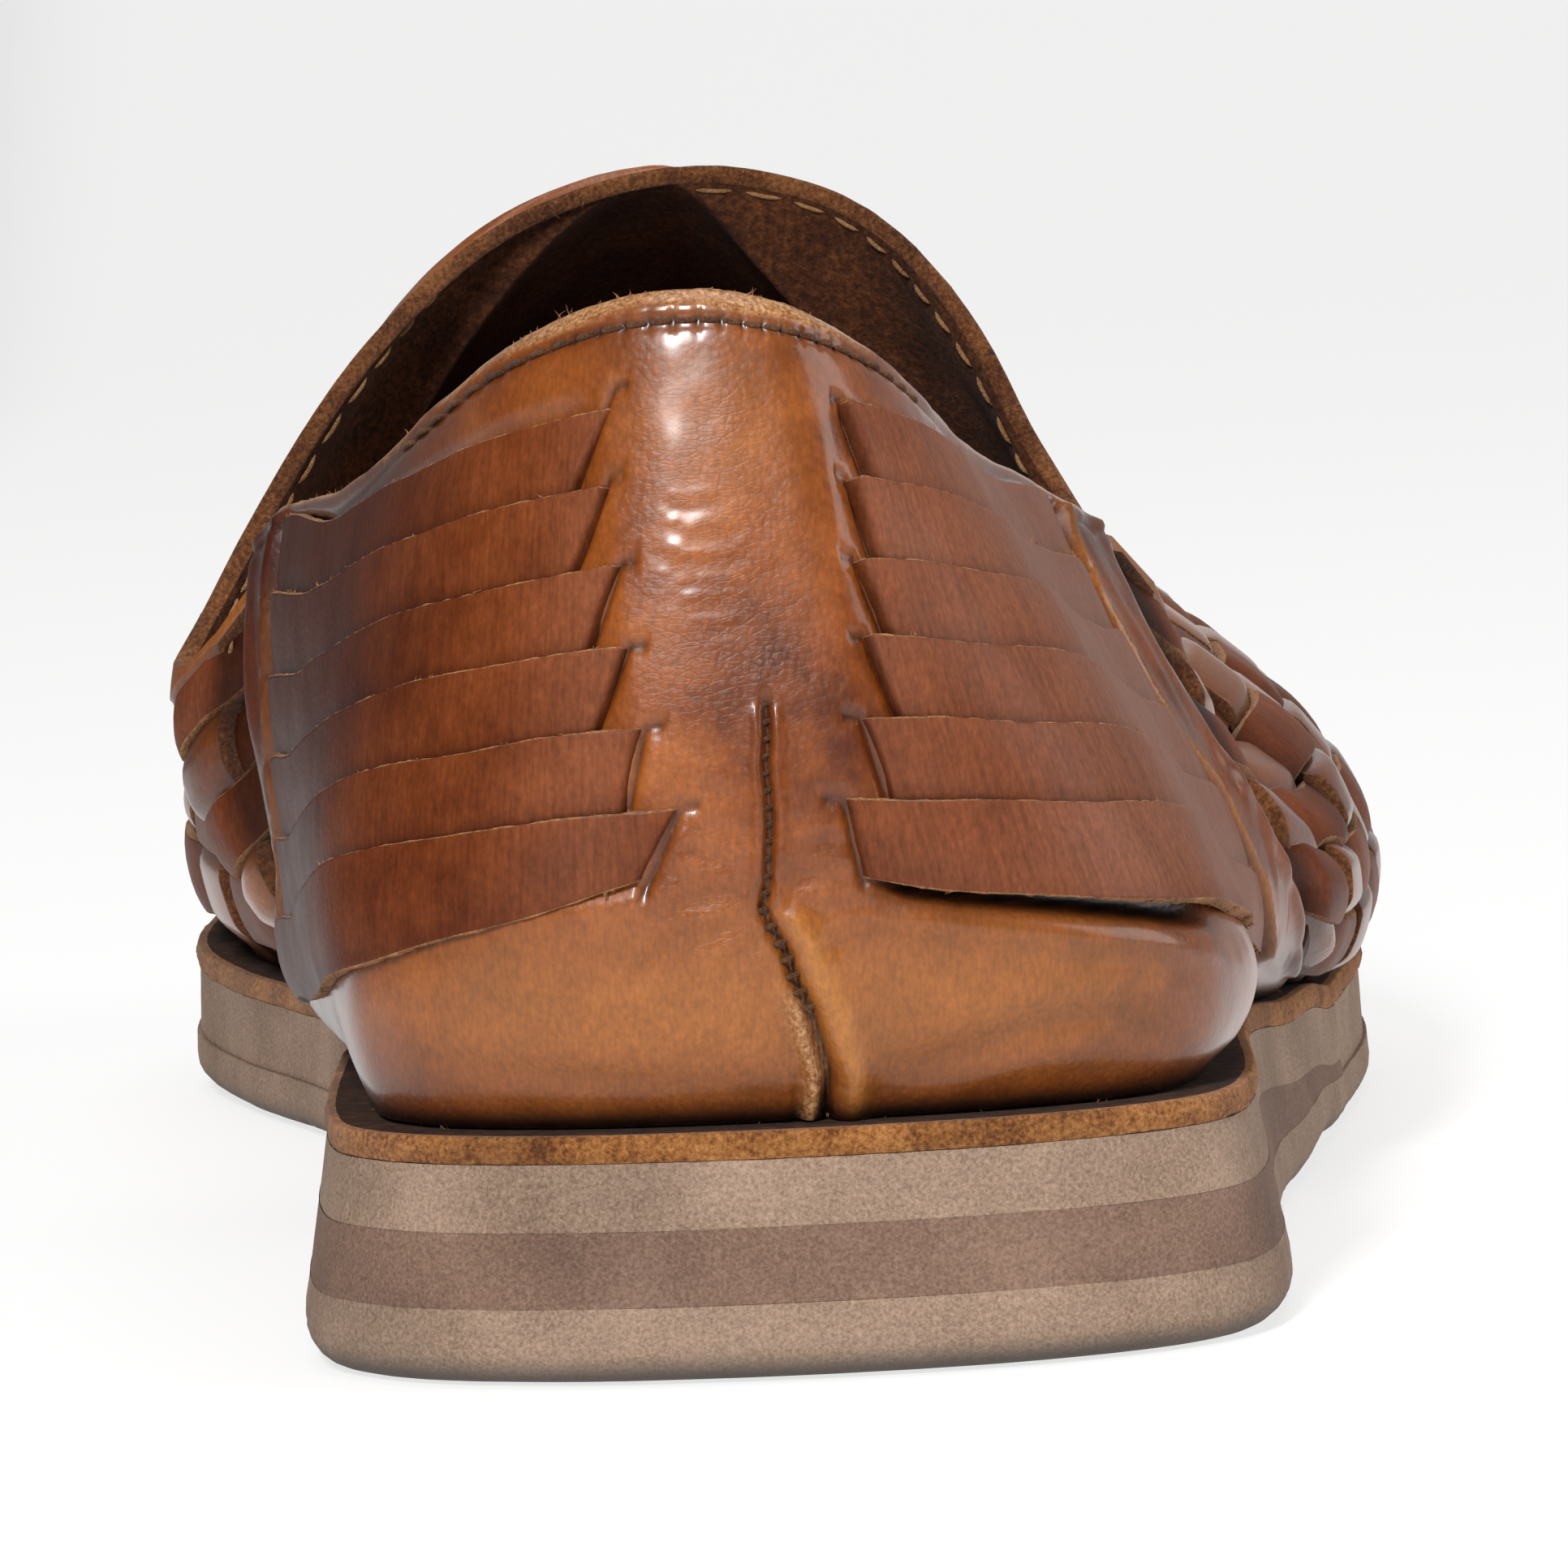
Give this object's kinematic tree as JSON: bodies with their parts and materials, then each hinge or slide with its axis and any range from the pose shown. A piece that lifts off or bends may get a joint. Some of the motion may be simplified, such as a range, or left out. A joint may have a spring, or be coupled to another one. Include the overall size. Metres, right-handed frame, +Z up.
{
  "type": "woven slip-on huarache shoe",
  "caption": "Closed slip-on huarache shoe for the right foot: hollow leather upper with a woven forefoot, woven side strips on the counter, and a layered foam sole.",
  "frame": {"origin": "centre of the shoe's footprint box, on the floor under the sole", "axes": "+Y points to the toe, +X to the little-toe side, +Z up; the sole's heel and forefoot rest on z = 0"},
  "size_m": [0.1084, 0.291, 0.085],
  "materials": {
    "cognac_leather": "burnished aniline leather, worn",
    "strip_leather": "dark burnished leather strips with raw tan edges",
    "raw_edge_leather": "raw fuzzy cut edge",
    "sock_leather": "worn suede",
    "taupe_foam": "matt closed-cell foam",
    "brown_foam": "matt closed-cell foam"
  },
  "bodies": {
    "root": {"outsole": "taupe_foam", "heel_wedge": "brown_foam", "midsole": "taupe_foam", "leather_board": "raw_edge_leather", "insole": "sock_leather", "upper": "cognac_leather", "side_strip_lateral_1": "strip_leather", "side_strip_lateral_2": "strip_leather", "side_strip_lateral_3": "strip_leather", "side_strip_lateral_4": "strip_leather", "side_strip_lateral_5": "strip_leather", "side_strip_lateral_6": "strip_leather", "side_strip_medial_1": "strip_leather", "side_strip_medial_2": "strip_leather", "side_strip_medial_3": "strip_leather", "side_strip_medial_4": "strip_leather", "side_strip_medial_5": "strip_leather", "side_strip_medial_6": "strip_leather"}
  },
  "joints": []
}
